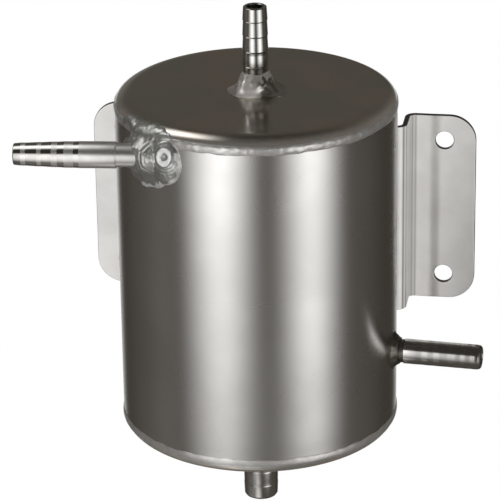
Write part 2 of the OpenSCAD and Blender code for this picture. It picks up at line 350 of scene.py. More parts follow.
def sideBand(tree, place, centre, inner, outer, within, beyond):
    # one value within a band at a distance to either side of the middle plane, and another beyond it
    side = addNode(tree, "ShaderNodeSeparateXYZ", {0: place}).outputs["X"]
    across = addNode(tree, "ShaderNodeMath", {0: side}, operation="ABSOLUTE")
    off = addNode(tree, "ShaderNodeMath", {0: across, 1: centre * mm}, operation="SUBTRACT")
    away = addNode(tree, "ShaderNodeMath", {0: off}, operation="ABSOLUTE")
    return addNode(
        tree,
        "ShaderNodeMapRange",
        {"Value": away, "From Min": inner * mm, "From Max": outer * mm, "To Min": within, "To Max": beyond},
        interpolation_type="SMOOTHSTEP",
    )


def metalShader(name, look, grain):
    # a metal's shader with its colour and roughness clouded by noise; grain adds its own bump
    material, tree = newMaterial(name)
    place = addNode(tree, "ShaderNodeTexCoord").outputs["Object"]
    cloud = addNode(
        tree,
        "ShaderNodeTexNoise",
        {"Vector": place, "Scale": 1 / (look["cloud"] * mm), "Detail": 3.0, "Roughness": 0.55},
    )
    fade = addNode(
        tree,
        "ShaderNodeMapRange",
        {"Value": cloud, "From Min": 0.35, "From Max": 0.65},
        interpolation_type="SMOOTHSTEP",
    )
    colour = addNode(
        tree,
        "ShaderNodeMix",
        {"Factor": fade, 6: linear(look["colour"]), 7: linear(look["cloudColour"])},
        data_type="RGBA",
    )
    colour = colour.outputs[2]
    for centre, half, depth in look.get("lines", ()):
        # painted shade: fine dark lines along the folds, on either side of the middle plane
        line = sideBand(tree, place, centre, 0.0, half, depth, 0.0)
        dark = addNode(
            tree, "ShaderNodeMix", {"Factor": line, 6: colour, 7: linear(look["lineColour"])}, data_type="RGBA"
        )
        colour = dark.outputs[2]
    rough = addNode(
        tree,
        "ShaderNodeMapRange",
        {
            "Value": cloud,
            "From Min": 0.3,
            "From Max": 0.7,
            "To Min": look["rough"] - look["roughSpread"],
            "To Max": look["rough"] + look["roughSpread"],
        },
        interpolation_type="SMOOTHSTEP",
    )
    shader = addNode(
        tree,
        "ShaderNodeBsdfPrincipled",
        {"Base Color": colour, "Metallic": 1.0, "Roughness": rough},
    )
    if "skin" in look:
        # a dull oxide skin scatters part of the light: how much, and where it ends along a direction
        share, way, near, far = look["skin"]
        along = addNode(tree, "ShaderNodeVectorMath", {0: place, 1: way}, operation="DOT_PRODUCT")
        bare = addNode(
            tree,
            "ShaderNodeMapRange",
            {
                "Value": along.outputs["Value"],
                "From Min": near * mm,
                "From Max": far * mm,
                "To Min": 1 - share,
                "To Max": 1.0,
            },
            interpolation_type="SMOOTHSTEP",
        )
        if "rubbed" in look:
            # a band on either side where the skin is rubbed off
            band = sideBand(tree, place, *look["rubbed"], 0.0)
            bare = addNode(tree, "ShaderNodeMath", {0: bare, 1: band}, operation="ADD", use_clamp=True)
        tree.links.new(bare.outputs[0], shader.inputs["Metallic"])
    if "brushed" in look:
        # reflections stretch up and down, across the rings
        shader.inputs["Anisotropic"].default_value = look["brushed"]
        shader.inputs["Anisotropic Rotation"].default_value = 0.25
        ringward = addNode(tree, "ShaderNodeTangent", direction_type="RADIAL", axis="Z")
        tree.links.new(ringward.outputs[0], shader.inputs["Tangent"])
    grain(tree, place, shader, look)
    addNode(tree, "ShaderNodeOutputMaterial", {"Surface": shader})
    return material


def lathedGrain(tree, place, shader, look):
    # fine rings round the axis, as turning or polishing on a lathe leaves them
    stretch = addNode(tree, "ShaderNodeMapping", {"Vector": place, "Scale": look["ringScale"]})
    rings = addNode(tree, "ShaderNodeTexNoise", {"Vector": stretch, "Scale": 1.0, "Detail": 2.0})
    bump = addNode(
        tree,
        "ShaderNodeBump",
        {"Height": rings, "Strength": look["ringStrength"], "Distance": look["ringDepth"] * mm},
    )
    tree.links.new(bump.outputs[0], shader.inputs["Normal"])


def frostedGrain(tree, place, shader, look):
    # fine pitting of cast or rolled metal
    pits = addNode(tree, "ShaderNodeTexNoise", {"Vector": place, "Scale": 1 / (look["pit"] * mm), "Detail": 3.0})
    bump = addNode(
        tree,
        "ShaderNodeBump",
        {"Height": pits, "Strength": look["pitStrength"], "Distance": look["pitDepth"] * mm},
    )
    tree.links.new(bump.outputs[0], shader.inputs["Normal"])


# Drawn aluminium tube, polished round to a soft satin: wide vertical bands of light with faint rings in them
satinTube = metalShader(
    "satinDrawnAluminium",
    {
        "colour": "#E6E6E4",
        "cloudColour": "#DEDDDA",
        "cloud": 38,
        "rough": 0.27,
        "roughSpread": 0.015,
        "brushed": 0.5,
        "ringScale": (20, 20, 2200),
        "ringStrength": 0.10,
        "ringDepth": 0.02,
    },
    lathedGrain,
)

# Pressed aluminium cap, burnished nearly to a mirror: dark and still, with a faint brown cast and greener clouds in
# its colour
burnishedCap = metalShader(
    "burnishedPressedAluminium",
    {
        "colour": "#DBD0C6",
        "cloudColour": "#CFCDC4",
        "cloud": 22,
        "rough": 0.17,
        "roughSpread": 0.03,
        "pit": 1.2,
        "pitStrength": 0.08,
        "pitDepth": 0.02,
        "skin": (0.14, (0, 0, 1), 66.0, 68.6),
    },
    frostedGrain,
)

# Aluminium filler dressed down along the rims: frosted and slightly rough
dressedWeld = metalShader(
    "dressedAluminiumWeld",
    {
        "colour": "#E0DFDC",
        "cloudColour": "#CDCBC7",
        "cloud": 6,
        "rough": 0.38,
        "roughSpread": 0.06,
        "pit": 0.6,
        "pitStrength": 0.2,
        "pitDepth": 0.05,
        "skin": (0.12, (1, 0, 0), 100, 200),
    },
    frostedGrain,
)

# Aluminium weld metal as it froze: silky, with frosted patches between its ripples
laidWeld = metalShader(
    "ripplingAluminiumWeld",
    {
        "colour": "#DEDCD8",
        "cloudColour": "#CECBC7",
        "cloud": 5,
        "rough": 0.36,
        "roughSpread": 0.06,
        "pit": 0.8,
        "pitStrength": 0.1,
        "pitDepth": 0.05,
    },
    frostedGrain,
)

# The vent's weld: its front and left carry a dull, faintly pink heat skin, its right side is bare and dark
skinnedWeld = metalShader(
    "heatSkinnedAluminiumWeld",
    {
        "colour": "#DAD3CF",
        "cloudColour": "#CBC6C2",
        "cloud": 4,
        "rough": 0.32,
        "roughSpread": 0.05,
        "pit": 0.8,
        "pitStrength": 0.08,
        "pitDepth": 0.05,
        "skin": (0.37, (0.94, 0.34, 0), -25.3, -22),
        "rubbed": (8.6, 2.4, 3.4, 0.3),
    },
    frostedGrain,
)

# The inlet's weld pool, run long and hot: greyer and duller than the other welds, with a soft grain
poolWeld = metalShader(
    "dullAluminiumWeld",
    {
        "colour": "#C9C9C6",
        "cloudColour": "#ADAEAA",
        "cloud": 3.5,
        "rough": 0.4,
        "roughSpread": 0.08,
        "pit": 0.9,
        "pitStrength": 0.08,
        "pitDepth": 0.05,
        "skin": (0.07, (1, 0, 0), 100, 200),
    },
    frostedGrain,
)

# The ring of the pool's last crater: frosted nearly white as it shrank
craterMetal = metalShader(
    "frostedCraterAluminium",
    {
        "colour": "#F2F2F0",
        "cloudColour": "#E2E2DF",
        "cloud": 2,
        "rough": 0.45,
        "roughSpread": 0.05,
        "pit": 0.6,
        "pitStrength": 0.1,
        "pitDepth": 0.05,
        "skin": (0.6, (1, 0, 0), 100, 200),
    },
    frostedGrain,
)

# The thin edge of that pool, where it chilled against the wall: paler and frosted
fringeMetal = metalShader(
    "chilledAluminiumFringe",
    {
        "colour": "#DCDCD9",
        "cloudColour": "#C6C6C2",
        "cloud": 2,
        "rough": 0.45,
        "roughSpread": 0.05,
        "pit": 0.6,
        "pitStrength": 0.15,
        "pitDepth": 0.05,
        "skin": (0.3, (1, 0, 0), 100, 200),
    },
    frostedGrain,
)

# Aluminium bar turned on a lathe: the finely turned cuts stay dark and sharp
turnedBar = metalShader(
    "turnedAluminiumBar",
    {
        "colour": "#DCDBD9",
        "cloudColour": "#D2D1CE",
        "cloud": 5,
        "rough": 0.16,
        "roughSpread": 0.02,
        "pit": 0.5,
        "pitStrength": 0.05,
        "pitDepth": 0.02,
    },
    frostedGrain,
)

# The inlet's cuts: turned with a sharp tool, so that they mirror like dark glass
keenCut = metalShader(
    "keenlyCutAluminium",
    {
        "colour": "#CBC9C5",
        "cloudColour": "#BFBDB9",
        "cloud": 4,
        "rough": 0.10,
        "roughSpread": 0.01,
        "pit": 0.5,
        "pitStrength": 0.03,
        "pitDepth": 0.02,
    },
    frostedGrain,
)

# A tail's end as sawn and deburred: dark and dull
sawnEnd = metalShader(
    "sawnAluminium",
    {
        "colour": "#A3A19D",
        "cloudColour": "#8F8D89",
        "cloud": 2,
        "rough": 0.5,
        "roughSpread": 0.05,
        "pit": 0.4,
        "pitStrength": 0.1,
        "pitDepth": 0.03,
    },
    frostedGrain,
)

# The same bar where it is left as drawn or lightly sanded: pale and silky
silkyBar = metalShader(
    "silkyAluminiumBar",
    {
        "colour": "#E6E5E2",
        "cloudColour": "#DEDDDA",
        "cloud": 5,
        "rough": 0.32,
        "roughSpread": 0.02,
        "pit": 0.5,
        "pitStrength": 0.06,
        "pitDepth": 0.02,
        "skin": (0.05, (1, 0, 0), 100, 200),
    },
    frostedGrain,
)

# Weld metal dulled by the torch's smoke, as on the vent's neck: an even grey that mirrors little
dulledWeld = metalShader(
    "dulledAluminiumWeld",
    {
        "colour": "#C6C1BB",
        "cloudColour": "#ABA6A0",
        "cloud": 3,
        "rough": 0.5,
        "roughSpread": 0.06,
        "pit": 0.6,
        "pitStrength": 0.12,
        "pitDepth": 0.05,
        "skin": (0.24, (1, 0, 0), 100, 200),
    },
    frostedGrain,
)

# Dark grey-brown, dull aluminium with no bright streak: on the outlet's small weld, and on the tail's root beside it,
# where the dark is a painted reflection of the tank's dark side
darkWeldAndPaintedShade = metalShader(
    "darkWeldAndPaintedShadeAluminium",
    {
        "colour": "#8A857D",
        "cloudColour": "#716D66",
        "cloud": 3,
        "rough": 0.5,
        "roughSpread": 0.06,
        "pit": 0.6,
        "pitStrength": 0.12,
        "pitDepth": 0.05,
    },
    frostedGrain,
)

# Aluminium sheet as rolled: pale and milky under its mill skin, with faint upright grain
rolledSheet = metalShader(
    "rolledAluminiumSheet",
    {
        "colour": "#F8F7F4",
        "cloudColour": "#F0EEEB",
        "cloud": 16,
        "rough": 0.30,
        "roughSpread": 0.02,
        "ringScale": (1400, 1400, 25),
        "ringStrength": 0.04,
        "ringDepth": 0.01,
        # painted light: the scattering skin thins across the right flange and towards its foot, so that flange
        # renders darker than the left one and darkest low down
        "skin": (0.95, (1, 0, -0.2), 46, 101),
        "rubbed": (58.4, 0.3, 2.9, 0.48),
        # painted shade: the dark lines below lie over the bends and web of each fold
        "lineColour": "#6F6C67",
        "lines": ((49.4, 2.8, 0.5), (47.8, 0.6, 0.8), (48.75, 0.25, 0.8), (49.8, 0.4, 0.5), (51.0, 0.6, 0.4)),
    },
    lathedGrain,
)

# The sheet's rear side, which nothing has rubbed or hazed: clearer, with cloudy rolling marks
rearSheet = metalShader(
    "clearRolledAluminiumSheet",
    {
        "colour": "#E9E8E5",
        "cloudColour": "#DBD9D6",
        "cloud": 12,
        "rough": 0.34,
        "roughSpread": 0.05,
        "ringScale": (1400, 1400, 25),
        "ringStrength": 0.08,
        "ringDepth": 0.01,
        "skin": (0.3, (1, 0, 0), 100, 200),
    },
    lathedGrain,
)

# The sheet's sheared edges: bare, dark and a little torn
shearedEdge = metalShader(
    "shearedAluminiumEdge",
    {
        "colour": "#8B8882",
        "cloudColour": "#7A7771",
        "cloud": 3,
        "rough": 0.4,
        "roughSpread": 0.06,
        "pit": 0.5,
        "pitStrength": 0.15,
        "pitDepth": 0.04,
    },
    frostedGrain,
)
print("surge tank: metals mixed")

# Mesh helpers


def addPiece(name, points, faces, material, replaced=()):
    mesh = bpy.data.meshes.new(name)
    mesh.from_pydata([tuple(p) for p in points], [], faces)
    mesh.update()
    mesh.materials.append(material)
    piece = bpy.data.objects.new(name, mesh)
    bpy.context.scene.collection.objects.link(piece)
    finishPiece(piece, replaced)
    return piece


def finishPiece(piece, replaced):
    piece.data.polygons.foreach_set("use_smooth", [True] * len(piece.data.polygons))
    piece.data.set_sharp_from_angle(angle=math.radians(38))
    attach(piece, "root")
    if replaced:
        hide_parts(*replaced)


def roundCorners(points, cut, steps=4, keep=()):
    # a closed outline with each corner turned into a short curve
    done = []
    count = len(points)
    for i, point in enumerate(points):
        here = Vector(point)
        before, after = Vector(points[i - 1]) - here, Vector(points[(i + 1) % count]) - here
        reach = min(cut, before.length * 0.45, after.length * 0.45)
        if i in keep or reach < 1e-6:
            done.append((here.x, here.y))
            continue
        start, end = here + before.normalized() * reach, here + after.normalized() * reach
        for step in range(steps + 1):
            t = step / steps
            spot = start * (1 - t) ** 2 + here * 2 * t * (1 - t) + end * t ** 2
            done.append((spot.x, spot.y))
    return done


def turned(outline, steps, place, wobble=None):
    # a closed outline of (radius, height) turned round the Z axis of place
    points, faces = [], []
    rows = len(outline)
    for step in range(steps):
        angle = 2 * math.pi * step / steps
        for radius, height in outline:
            if wobble:
                radius, height = wobble(radius, height, angle)
            points.append(place @ Vector((radius * math.cos(angle), radius * math.sin(angle), height)))
    for step in range(steps):
        ahead = (step + 1) % steps
        for row in range(rows):
            above = (row + 1) % rows
            faces.append((step * rows + row, ahead * rows + row, ahead * rows + above, step * rows + above))
    return points, faces


def cutHole(piece, place, low, high, radius):
    # bores a round hole along the Z axis of place
    form = bmesh.new()
    bmesh.ops.create_cone(form, cap_ends=True, segments=64, radius1=radius, radius2=radius, depth=high - low)
    bmesh.ops.translate(form, vec=(0, 0, (high + low) / 2), verts=form.verts)
    bmesh.ops.transform(form, matrix=place, verts=form.verts)
    mesh = bpy.data.meshes.new("cutter")
    form.to_mesh(mesh)
    form.free()
    cutter = bpy.data.objects.new("cutter", mesh)
    bpy.context.scene.collection.objects.link(cutter)
    boolean = piece.modifiers.new("hole", "BOOLEAN")
    boolean.operation = "DIFFERENCE"
    boolean.solver = "EXACT"
    boolean.object = cutter
    bpy.context.view_layer.update()
    whole = bpy.data.meshes.new_from_object(piece.evaluated_get(bpy.context.evaluated_depsgraph_get()))
    piece.modifiers.clear()
    old = piece.data
    piece.data = whole
    bpy.data.meshes.remove(old)
    bpy.data.objects.remove(cutter)
    bpy.data.meshes.remove(mesh)
    piece.data.polygons.foreach_set("use_smooth", [True] * len(piece.data.polygons))
    piece.data.set_sharp_from_angle(angle=math.radians(38))


# Where the tails stand

tailPlaces = {
    "inletHeight": 117.7,
    "inletOffset": 36.0,
    "inletSwing": 5.2,
    "outletHeight": 31.8,
    "outletSwing": 4.6,
}


def turnZ(degrees):
    return Matrix.Rotation(math.radians(degrees), 4, "Z")


layFlat = Matrix.Rotation(math.radians(90), 4, "Y")  # +Z of a tail to +X
ventPlace = tankPlace @ Matrix.Translation((0, 0, tankHigh))
feedPlace = tankPlace @ Matrix.Scale(-1, 4, (0, 0, 1))
inletPlace = (
    tankPlace
    @ Matrix.Translation((0, 0, tailPlaces["inletHeight"]))
    @ turnZ(180 + tailPlaces["inletSwing"])
    @ Matrix.Translation((0, tailPlaces["inletOffset"], 0))
    @ layFlat
)
outletPlace = (
    tankPlace @ Matrix.Translation((0, 0, tailPlaces["outletHeight"])) @ turnZ(-tailPlaces["outletSwing"]) @ layFlat
)

# The can

canShape = {
    "wall": 1.6,
    "capWall": 2.0,
    "edgeHigh": 4.8,
    "edgeWide": 6.3,
    "skirt": 0.2,
    "vee": 1.1,
    "tubeSteps": 288,
    "waviness": 0.03,
    "weldPull": 0.06,  # the wall drawn in beside the rim welds
    "dings": ((-78, 113.5, 1.6, 0.04), (-72.7, 111.6, 1.3, 0.04), (-60, 81.5, 1.1, 0.03), (-117.4, 22.5, 1.2, 0.03)),  # angle, height, radius, depth
}
capHigh = canShape["edgeHigh"] + canShape["skirt"]
tailRoot = 4.3
feedRoot = 6.1


def wallWave(radius, height, angle):
    # the drawn wall is out of round by hundredths, and pulled in beside the welds
    around = Vector((math.cos(angle) * 1.6, math.sin(angle) * 1.6, height / 38))
    offset = canShape["waviness"] * noise.noise(around)
    near = min(height - capHigh, tankHigh - capHigh - height)
    offset -= canShape["weldPull"] * math.exp(-((max(0, near - 1) / 4.5) ** 2))
    for turn, level, wide, deep in canShape["dings"]:
        far = math.hypot((angle - math.radians(turn % 360)) * tankR, height - level) / wide
        offset -= deep * math.exp(-far * far)
    if radius > tankR - 0.5:
        radius += min(offset, 0.01)
    return radius, height


def makeTube():
    low, high, vee, wall = capHigh, tankHigh - capHigh, canShape["vee"], canShape["wall"]
    outside = [(tankR, low + vee + (high - low - 2 * vee) * i / 80) for i in range(81)]
    inside = [(tankR - wall, high - (high - low) * i / 6) for i in range(7)]
    outline = [(tankR - vee, low)] + outside + [(tankR - vee, high)] + inside
    points, faces = turned(outline, canShape["tubeSteps"], tankPlace, wallWave)
    tube = addPiece("drawnTube", points, faces, satinTube, ("body_tube",))
    cutHole(tube, inletPlace, 20, 70, tailRoot)
    cutHole(tube, outletPlace, 20, 70, tailRoot)


def capOutline(hole):
    # half section of a cap with its flat face at 0 and its seam at -capHigh
    edgeW, edgeH, wall, vee = canShape["edgeWide"], canShape["edgeHigh"], canShape["capWall"], canShape["vee"]
    seam = -capHigh
    outer = [
        (tankR - edgeW + edgeW * math.cos(a), seam + capHigh - edgeH + edgeH * math.sin(a))
        for a in (math.pi / 2 * i / 24 for i in range(25))
    ]
    flatOut = [(hole + (tankR - edgeW - hole) * t, 0) for t in (0.9, 0.75, 0.6, 0.45, 0.3, 0.15, 0.0)]
    inner = [
        (tankR - wall - (edgeW - wall) * (1 - math.cos(a)), seam + capHigh - edgeH + (edgeH - wall) * math.sin(a))
        for a in (math.pi / 2 * i / 10 for i in range(10, -1, -1))
    ]
    start = [(tankR - wall, seam), (tankR - vee, seam), (tankR, seam + min(vee, canShape["skirt"]))]
    return start + outer + flatOut + [(hole, -wall)] + inner


def capWave(radius, height, angle):
    # a pressed disc is never quite flat
    spot = Vector((radius * math.cos(angle) / 24, radius * math.sin(angle) / 24, 0))
    fade = min(1, max(0, (tankR - radius) / 10))
    return radius, height - 0.05 * fade * (1 + noise.noise(spot))


def makeCaps():
    top = tankPlace @ Matrix.Translation((0, 0, tankHigh))
    points, faces = turned(capOutline(tailRoot), canShape["tubeSteps"], top, capWave)
    addPiece("pressedTopCap", points, faces, burnishedCap, ("top_cap",))
    under = tankPlace @ Matrix.Scale(-1, 4, (0, 0, 1))
    points, faces = turned(capOutline(feedRoot), canShape["tubeSteps"], under, capWave)
    faces = [face[::-1] for face in faces]
    addPiece("pressedBottomCap", points, faces, burnishedCap, ("bottom_cap",))


makeTube()
makeCaps()
print("surge tank: can formed")

# Rim welds

rimWelds = {
    "wide": 4.2,
    "crown": 0.33,
    "deep": 0.9,
    "steps": 900,
    "across": 14,
    "topRough": 0.19,
    "bottomRough": 0.05,
}


def edgeLean(up):
    return canShape["edgeWide"] * (1 - math.sqrt(1 - min(1, max(0, up) / canShape["edgeHigh"]) ** 2))


def makeRimWeld(name, flip, rough, seed, replaced):
    seam = tankHigh - capHigh
    points, faces = [], []
    across, steps = rimWelds["across"], rimWelds["steps"]
    rows = across + 1 + 2
    for step in range(steps):
        angle = 2 * math.pi * step / steps
        ring = Vector((math.cos(angle), math.sin(angle), 0))
        wander = 0.35 * noise.noise(ring * 9 + Vector((0, 0, seed)))
        wide = rimWelds["wide"] / 2 * (1 - 0.14 * (1 + noise.noise(ring * 14 + Vector((0, 0, seed + 5)))))
        for i in range(across + 1):
            t = -1 + 2 * i / across
            up = t * wide + wander
            lump = noise.noise(Vector((ring.x * 22, ring.y * 22, up / 2.2 + seed)))
            fine = noise.noise(Vector((ring.x * 70, ring.y * 70, up / 0.9 + seed)))
            rise = rimWelds["crown"] * (1 - t * t) + rough * (0.8 * lump + 0.3 * fine - 0.3) * (1 - t ** 6)
            rise = min(rise, rimWelds["crown"])
            sink = -0.12 if i in (0, across) else 0
            radius = tankR + rise + sink - edgeLean(up - canShape["skirt"])
            points.append((radius * ring.x, radius * ring.y, up + seam))
        for up in (wide * 0.7, -wide * 0.7):
            radius = tankR - rimWelds["deep"] - edgeLean(up - canShape["skirt"])
            points.append((radius * ring.x, radius * ring.y, up + seam))
    for step in range(steps):
        ahead = (step + 1) % steps
        for row in range(rows):
            above = (row + 1) % rows
            faces.append((step * rows + row, ahead * rows + row, ahead * rows + above, step * rows + above))
    place = tankPlace
    if flip:
        place = tankPlace @ Matrix.Translation((0, 0, tankHigh)) @ Matrix.Scale(-1, 4, (0, 0, 1))
        faces = [face[::-1] for face in faces]
    addPiece(name, [place @ Vector(p) for p in points], faces, dressedWeld, (replaced,))


makeRimWeld("topRimBead", False, rimWelds["topRough"], 1.0, "top_rim_weld")
makeRimWeld("bottomRimBead", True, rimWelds["bottomRough"], 7.0, "bottom_rim_weld")
print("surge tank: rims welded")

# Hose tails

# Each tail's own place: start is its inner end, rootEnd where its turned-down root ends, reach its tip. A tail's
# barbs, cuts or waves are told by their distance back from the tip.
ventTail = {
    "start": -4,
    "rootEnd": 6.5,
    "reach": 30.98,
    "bore": 3.0,
    "root": tailRoot,
    "shank": 4.62,
    "firstBarb": 4.9,
    "barbs": 4,
    "pitch": 5.6,
    "crest": 4.54,
    "grow": 0.07,
    "stepIn": 0.13,
    "nose": 0.24,
    "noseAt": 0.9,
    "tip": ((0.85, 0), (1.22, 0.25)),  # wall at distances back from the tip
    "round": 0.12,
    "steps": 112,
}
feedTail = dict(
    ventTail,
    start=-2,
    rootEnd=4,
    reach=32,
    bore=4.75,
    root=feedRoot,
    shank=6.5,
    firstBarb=5.2,
    crest=6.45,
    grow=0.01,
    stepIn=0.05,
    nose=0.15,
    noseAt=0.8,
    tip=((1.1, 0),),
)
inletTail = {
    "start": 25,
    "rootEnd": 46.8,
    "reach": 83,
    "bore": 3.0,
    "root": tailRoot,
    "cuts": ((0.3, 2.8), (4.5, 8.5), (10.0, 13.6), (15.7, 18.1), (21.4, 23.3)),
    "lands": (3.85, 4.07, 4.30, 4.50, 4.66, 4.75),
    "round": 0.15,
    "steps": 112,
}
outletTail = {
    "start": 47.2,
    "rootEnd": 54.7,
    "reach": 83.28,
    "bore": 3.0,
    "root": tailRoot,
    "shank": 4.6,
    "waves": (1.9, 5.5, 9.1, 15.0, 19.4),
    "wave": 0.05,
    "body": 4.6,
    "sawn": 0.8,
    # painted reflection: the root's span painted dark for the tank's dark side mirrored there
    "darkened": (27.8, 40),
    "round": 0.35,
    "steps": 112,
}


def barbedSide(tail):
    # soft barbs: each steps in under its crest and grows back to the next; told from the tip down
    side = [(tail["bore"] + wall, at) for wall, at in tail["tip"]]
    side.append((tail["crest"] - tail["nose"], tail["noseAt"]))
    for i in range(tail["barbs"]):
        at, crest = tail["firstBarb"] + i * tail["pitch"], tail["crest"] + i * tail["grow"]
        side += [(crest, at), (crest - tail["stepIn"], at + 0.3), (crest - tail["stepIn"], at + 1.4)]
        side.append((crest - tail["stepIn"] * 0.4, at + 3.0))
    side[-1] = (tail["shank"], side[-1][1])
    return side


def steppedSide(tail):
    # cones cut between plain lands
    lands = tail["lands"]
    side = [(tail["bore"] + 0.6, 0), (lands[0], tail["cuts"][0][0])]
    for i, (near, far) in enumerate(tail["cuts"]):
        if i:
            side.append((lands[i], near))
        side.append((lands[i + 1], far))
    return side


def wavySide(tail):
    # hardly any barb: shallow waves and a rounded tip
    side = [(tail["bore"] + 0.75, 0), (tail["body"] - 0.45, 0.3), (tail["body"] - 0.12, 0.9)]
    waves = tail["waves"]
    for i, at in enumerate(waves):
        side.append((tail["body"], at))
        following = waves[i + 1] if i + 1 < len(waves) else at + 4.4
        side.append((tail["body"] - tail["wave"], (at + following) / 2))
    side.append((tail["shank"], waves[-1] + 4.4))
    return side


def makeTail(name, tail, side, place, flip, replaced):
    rootEnd = tail["rootEnd"]
    line = [(tail["bore"], tail["start"]), (tail["root"], tail["start"]), (tail["root"], rootEnd)]
    line.append((side[-1][0], rootEnd + 0.1))
    line += [(radius, tail["reach"] - back) for radius, back in reversed(side)]
    line += [(tail["bore"] + 0.25, tail["reach"]), (tail["bore"], tail["reach"] - 0.25)]
    points, faces = turned(roundCorners(line, tail["round"], keep=(0, 1)), tail["steps"], place)
    if flip:
        faces = [face[::-1] for face in faces]
    return addPiece(name, points, faces, turnedBar, (replaced,))


def paintAlong(piece, tail, place, spans, metal, ragged=0.0):
    # gives another metal to the outside of a tail between distances back from its tip, with a straight or ragged edge
    piece.data.materials.append(metal)
    index = len(piece.data.materials) - 1
    back = place.inverted()
    for face in piece.data.polygons:
        spot = back @ face.center
        outside = math.hypot(spot.x, spot.y) > tail["bore"] + 0.3
        fromTip = tail["reach"] - spot.z + ragged * noise.noise(spot * 0.6)
        if outside and any(near < fromTip < far for near, far in spans):
            face.material_index = index


makeTail("ventHoseTail", ventTail, barbedSide(ventTail), ventPlace, False, "vent_tail")
makeTail("feedHoseTail", feedTail, barbedSide(feedTail), feedPlace, True, "feed_tail")
outletPiece = makeTail("outletHoseTail", outletTail, wavySide(outletTail), outletPlace, False, "outlet_tail")
paintAlong(outletPiece, outletTail, outletPlace, ((-1, outletTail["sawn"]),), sawnEnd)
# painted reflection: the tail's root is painted dark where the tank's dark side is mirrored on it
paintAlong(outletPiece, outletTail, outletPlace, (outletTail["darkened"],), darkWeldAndPaintedShade)
inletPiece = makeTail("inletHoseTail", inletTail, steppedSide(inletTail), inletPlace, False, "inlet_tail")
paintAlong(inletPiece, inletTail, inletPlace, ((-1, 60),), silkyBar)
paintAlong(inletPiece, inletTail, inletPlace, inletTail["cuts"], keenCut)
print("surge tank: hose tails turned")

# Weld collars


def makeCollar(name, place, flip, look, metal, replaced, wallDrop=None):
    # a ring of weld round a tail: angle by angle, from its toe on the metal up to its lip on the tail
    points, faces = [], []
    steps, rows = look["steps"], look["rows"]
    for step in range(steps):
        angle = 2 * math.pi * step / steps
        ring = Vector((math.cos(angle), math.sin(angle), 0))
        lobes = sum(a * math.cos(n * angle + p) for n, a, p in look["lobes"])
        base = look["base"] * (1 + lobes) + 0.25 * noise.noise(ring * 3.1 + Vector((0, 0, look["seed"])))
        high = look["high"] * (1 + 0.5 * lobes) + 0.2 * noise.noise(ring * 2.3 + Vector((0, 0, look["seed"] + 3)))
        for row in range(rows):
            t = row / (rows - 1)
            radius = base - (base - look["lip"]) * t ** (1 / look["flank"])
            height = high * t
            beat = (angle / (2 * math.pi) * look["ripples"] + 0.55 * math.sin(math.pi * t) + 0.04 * lobes) % 1
            ridge = (beat ** 2 * (1 - beat)) * 4 - 0.3
            swell = math.sin(math.pi * min(1, t * 1.05)) ** 0.7
            lump = noise.noise(Vector((ring.x * 2.2, ring.y * 2.2, t * 1.6 + look["seed"])))
            out = swell * (look["ripple"] * ridge + look["lump"] * lump)
            for where, level, wide, tall, proud in look["drops"]:
                turn = (angle - math.radians(where) + math.pi) % (2 * math.pi) - math.pi
                out += proud * math.exp(-((math.degrees(turn) / wide) ** 2) - ((t - level) / tall) ** 2)
            radius += out * 0.75
            height += out * 0.65
            drop = wallDrop(radius, angle) if wallDrop else 0
            points.append((radius * ring.x, radius * ring.y, max(height, 0) + drop))
        inner = look["inner"]
        points.append((inner * ring.x, inner * ring.y, high - 0.15))
        drop = wallDrop(inner, angle) if wallDrop else 0
        points.append((inner * ring.x, inner * ring.y, drop - look["below"]))
        drop = wallDrop(base, angle) if wallDrop else 0
        points.append((base * ring.x, base * ring.y, drop - look["below"]))
    count = rows + 3
    for step in range(steps):
        ahead = (step + 1) % steps
        for row in range(count):
            above = (row + 1) % count
            faces.append((step * count + row, ahead * count + row, ahead * count + above, step * count + above))
    if flip:
        faces = [face[::-1] for face in faces]
    return addPiece(name, [place @ Vector(p) for p in points], faces, metal, (replaced,))


ventWeld = {
    "base": 10.6,
    "high": 6.6,
    "lip": 4.85,
    "inner": 4.2,
    "flank": 2.1,
    "ripples": 7,
    "ripple": 0.12,
    "lump": 0.75,
    "lobes": ((1, 0.08, 0.4), (3, 0.05, 1.0), (5, 0.03, 2.0)),
    "drops": ((-56, 0.2, 19, 0.2, 1.3), (-118, 0.35, 13, 0.3, 0.6)),
    "seed": 3.0,
    "steps": 240,
    "rows": 34,
    "below": 0.4,
    "darkened": (-9, 2.3),  # the cone's neck, from its top down
}
outletWeld = dict(ventWeld, base=6.9, high=2.4, lip=4.8, flank=1.5, ripples=9, ripple=0.14, lump=0.3, seed=9.0, drops=())
outletWeld["lobes"] = ((2, 0.03, 0.5),)
feedWeld = dict(ventWeld, base=9.3, high=3.4, lip=6.6, inner=5.8, ripples=11, ripple=0.14, lump=0.25, seed=13.0, drops=())
feedWeld["lobes"] = ((2, 0.03, 0.5),)


def wallFall(radius, angle):
    # how far the tank's wall has curved away under a point of the outlet's collar
    sideways = radius * math.sin(angle)
    return math.sqrt(tankR ** 2 - sideways ** 2) - tankR


ventCone = makeCollar("ventWeldCone", ventPlace, False, ventWeld, skinnedWeld, "vent_tail_weld")
neck = {"bore": ventWeld["inner"], "reach": ventWeld["high"]}
paintAlong(ventCone, neck, ventPlace, (ventWeld["darkened"],), dulledWeld, 3.0)
outletFace = outletPlace @ Matrix.Translation((0, 0, tankR))
makeCollar("outletWeldCollar", outletFace, False, outletWeld, darkWeldAndPaintedShade, "outlet_tail_weld", wallFall)
makeCollar("feedWeldCollar", feedPlace, True, feedWeld, laidWeld, "feed_tail_weld")
print("surge tank: weld collars laid")

# Inlet weld

